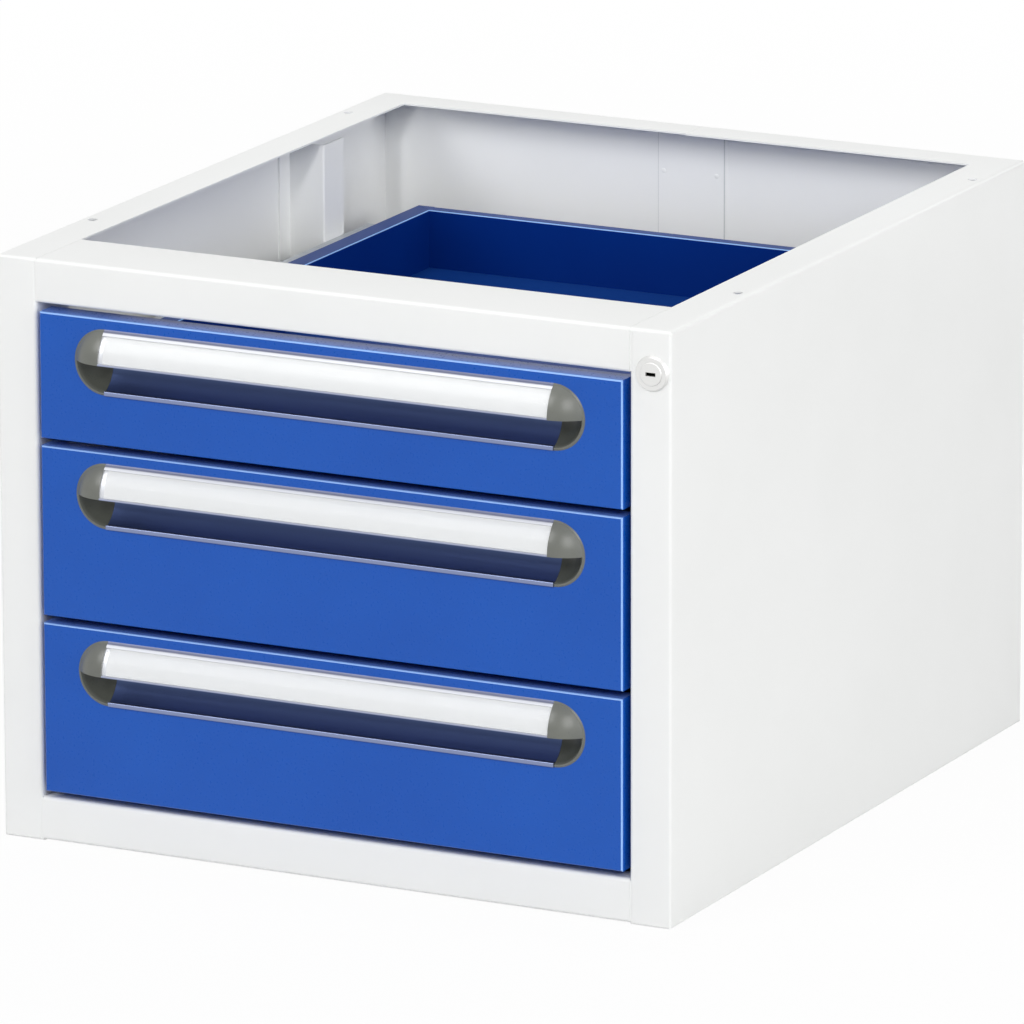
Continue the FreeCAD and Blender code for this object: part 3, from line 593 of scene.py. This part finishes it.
def add_bead(shape, x_range, y_range, z_range):
    """A straight bead that fills the given ranges, with its edges rounded."""
    ranges = (x_range, y_range, z_range)
    made = bmesh.ops.create_cube(shape, size=1.0)
    scale = Matrix.Diagonal((*(high - low for low, high in ranges), 1.0))
    middle = Vector([(low + high) / 2 for low, high in ranges])
    bmesh.ops.transform(shape, matrix=Matrix.Translation(middle) @ scale, verts=made["verts"])
    edges = {edge for vert in made["verts"] for edge in vert.link_edges}
    bmesh.ops.bevel(shape, geom=list(edges), offset=bead_rounding, segments=bead_segments, profile=0.5,
                    affect="EDGES")


def seam_lines(material):
    """Grey strips as painted shadow lines along the lap's edge and along the bend where it steps in."""
    low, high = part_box("casing_right")
    z_range = (low.z + seam_line_margin, high.z - seam_line_margin)
    lap_face = high.y - lap_depth
    shape = bmesh.new()
    for x, back in ((lap_edge_x, high.y - lap_depth / 2), (lap_bend_x, lap_face + seam_line_depth / 2)):
        add_bead(shape, (x - seam_line_width / 2, x + seam_line_width / 2),
                 (back - seam_line_depth, back), z_range)
    piece_from("seam_lines", shape, material, "casing")


def joint_fillers(material):
    """Painted filler in the grooves between the front rails and the columns' round corners."""
    shape = bmesh.new()
    for rail in ("top_front_rail", "bottom_front_rail"):
        low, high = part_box(rail)
        face = low.y + joint_recess
        for end, direction in ((low.x, -1), (high.x, 1)):
            x_range = sorted((end, end + direction * joint_width))
            add_bead(shape, x_range, (face, face + joint_depth),
                     (low.z + joint_margin, high.z - joint_margin))
    piece_from("joint_fillers", shape, material, "casing")


def seam_rivets(material):
    """Rivet heads on the inside of the rear wall's lapped seam."""
    low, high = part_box("casing_right")
    wall_face = high.y - lap_depth
    rows = [high.z - seam_rivet_margin, (low.z + high.z) / 2, low.z + seam_rivet_margin]
    shape = bmesh.new()
    for z in rows:
        for x in seam_rivet_x:
            add_head(shape, Vector((x, wall_face, z)), (0, -1, 0), seam_rivet_radius,
                     seam_rivet_height)
    piece_from("seam_rivets", shape, material, "casing")


def rail_rivets(number, side, material):
    """Rivets that hold a drawer rail to the tray's flange, seen inside the rail."""
    low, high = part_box(f"drawer_{number}_rail_{side}")
    direction = sides[side]
    web = (low.x if direction > 0 else high.x) + direction * rail_sheet
    shape = bmesh.new()
    for share in rail_rivet_places:
        y = low.y + (high.y - low.y) * share
        place = Vector((web, y, (low.z + high.z) / 2))
        add_head(shape, place, (direction, 0, 0), rail_rivet_radius, rail_rivet_height)
    piece_from(f"rail_rivets_{number}_{side}", shape, material, f"drawer_{number}")


def front_screws(number, material):
    """Cross-recess screws through the tray's front wall into the drawer front."""
    tray_low, tray_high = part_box(f"drawer_{number}_tray")
    wall_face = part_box(f"drawer_{number}_front")[1].y + tray_sheet
    z = tray_high.z - screw_inset
    for index, x in enumerate(screw_places):
        place = Vector((x, wall_face, z))
        shape = bmesh.new()
        add_head(shape, place, (0, 1, 0), screw_radius, screw_height)
        screw = piece_from(f"front_screw_{number}_{index}", shape, material, f"drawer_{number}")
        cutter = bmesh.new()
        add_cross_recess(cutter, place + Vector((0, screw_height, 0)), (0, 1, 0),
                         screw_slot_reach, screw_slot, 2 * screw_recess)
        cut_with(screw, cutter)


def cut_with(piece, cutter_shape):
    """Cut the cutter's shape from the piece and leave a plain mesh."""
    mesh = bpy.data.meshes.new("cutter")
    bmesh.ops.recalc_face_normals(cutter_shape, faces=cutter_shape.faces)
    cutter_shape.to_mesh(mesh)
    cutter_shape.free()
    cutter = bpy.data.objects.new("cutter", mesh)
    bpy.context.scene.collection.objects.link(cutter)
    modifier = piece.modifiers.new("recess", "BOOLEAN")
    modifier.operation = "DIFFERENCE"
    modifier.solver = "EXACT"
    modifier.use_self = True
    modifier.object = cutter
    bpy.context.view_layer.update()
    graph = bpy.context.evaluated_depsgraph_get()
    made = bpy.data.meshes.new_from_object(piece.evaluated_get(graph))
    piece.modifiers.clear()
    piece.data = made
    bpy.data.objects.remove(cutter)


def all_pieces(materials):
    paper = card_paper()
    seam_rivets(materials["casing_paint"])
    # Grey strips that are painted shadow lines along the rear wall's seam
    seam_lines(seam_shadow_paint())
    joint_fillers(materials["casing_paint"])
    for number in drawer_numbers:
        label_card(number, paper)
        front_screws(number, materials["zinc_steel"])
        for side in sides:
            rail_rivets(number, side, materials["zinc_steel"])


# Stage

def seen_directly(tree):
    """1 for what the camera, a reflection or a clear piece sees, and 0 for what only lights."""
    path = add_node(tree, "ShaderNodeLightPath")
    seen = path.outputs["Is Camera Ray"]
    for name in ("Is Glossy Ray", "Is Transmission Ray"):
        both = add_node(tree, "ShaderNodeMath", operation="MAXIMUM")
        link(tree, seen, both.inputs[0])
        link(tree, path.outputs[name], both.inputs[1])
        seen = both.outputs["Value"]
    return seen


def make_world():
    """White where it is seen, and a softer even light on everything."""
    world = bpy.data.worlds.new("studio")
    bpy.context.scene.world = world
    world.use_nodes = True
    tree = world.node_tree
    strength = spread(tree, seen_directly(tree), world_strength, 1.0, 0.0, 1.0)
    link(tree, strength, tree.nodes["Background"].inputs["Strength"])
    tree.nodes["Background"].inputs["Color"].default_value = (1.0, 1.0, 1.0, 1.0)


def make_floor():
    """Pale floor that shows white, keeps a soft shadow near the unit and fades to plain white."""
    shape = bmesh.new()
    bmesh.ops.create_circle(shape, cap_ends=True, segments=floor_sides, radius=floor_radius)
    mesh = bpy.data.meshes.new("floor")
    shape.to_mesh(mesh)
    shape.free()
    floor = bpy.data.objects.new("floor", mesh)
    floor.location.z = cad_low.z
    bpy.context.scene.collection.objects.link(floor)
    mesh.materials.append(floor_material())


def floor_material():
    material, tree, shader = material_tree("floor")
    place = object_coordinates(tree)
    tone = noise(tree, place, floor_scale)
    link(tree, mix_colours(tree, tone, *floor_tones), shader.inputs["Base Color"])
    shader.inputs["Roughness"].default_value = 0.9
    shader.inputs["Specular IOR Level"].default_value = 0.0
    white = add_node(tree, "ShaderNodeEmission")
    distance = add_node(tree, "ShaderNodeVectorMath", operation="LENGTH")
    link(tree, place, distance.inputs[0])
    fade = spread(tree, distance.outputs["Value"], floor_white_share, 1.0, floor_near, floor_far)
    share = add_node(tree, "ShaderNodeMath", operation="MULTIPLY")
    link(tree, fade, share.inputs[0])
    link(tree, seen_directly(tree), share.inputs[1])
    mix = add_node(tree, "ShaderNodeMixShader")
    link(tree, share.outputs["Value"], mix.inputs["Fac"])
    link(tree, shader.outputs["BSDF"], mix.inputs[1])
    link(tree, white.outputs["Emission"], mix.inputs[2])
    link(tree, mix.outputs["Shader"], tree.nodes["Material Output"].inputs["Surface"])
    return material


def softbox(name, place, size, power, target=camera_target, spread_angle=math.pi):
    """A lamp of the given width and height that points at its target and isn't seen itself."""
    lamp = bpy.data.lights.new(name, "AREA")
    lamp.shape = "RECTANGLE"
    lamp.size, lamp.size_y = size
    lamp.energy = power
    lamp.spread = spread_angle
    holder = bpy.data.objects.new(name, lamp)
    holder.location = place
    holder.rotation_euler = (target - place).to_track_quat("-Z", "Y").to_euler()
    holder.visible_camera = False
    bpy.context.scene.collection.objects.link(holder)


def make_camera():
    """The photograph's camera: its direction, roll, distance and lens."""
    azimuth, elevation = camera_azimuth, camera_elevation
    ahead = Vector((-math.sin(azimuth) * math.cos(elevation),
                    math.cos(azimuth) * math.cos(elevation),
                    -math.sin(elevation)))
    level_right = Vector((math.cos(azimuth), math.sin(azimuth), 0))
    level_up = level_right.cross(ahead)
    right = math.cos(camera_roll) * level_right + math.sin(camera_roll) * level_up
    up = math.cos(camera_roll) * level_up - math.sin(camera_roll) * level_right
    lens = bpy.data.cameras.new("camera")
    lens.sensor_width = camera_sensor
    lens.lens = camera_focal_pixels * camera_sensor / picture_size
    lens.clip_end = camera_far_end
    camera = bpy.data.objects.new("camera", lens)
    place = camera_target - (right * camera_offset.x + up * camera_offset.y + ahead * camera_offset.z)
    camera.matrix_world = Matrix((
        (right.x, up.x, -ahead.x, place.x),
        (right.y, up.y, -ahead.y, place.y),
        (right.z, up.z, -ahead.z, place.z),
        (0, 0, 0, 1),
    ))
    bpy.context.scene.collection.objects.link(camera)
    bpy.context.scene.camera = camera


make_camera()
make_world()
make_floor()
softbox("left_key", left_key_place, left_key_size, left_key_power)
softbox("right_key", right_key_place, right_key_size, right_key_power)
softbox("side", side_place, side_size, side_power)
softbox("top", top_place, top_size, top_power)
softbox("wall", wall_place, wall_size, wall_power, wall_target, wall_spread)
bpy.context.scene.view_settings.view_transform = "Standard"

node_materials = all_materials()
paint_nodes(node_materials)
smooth_nodes()
all_pieces(node_materials)
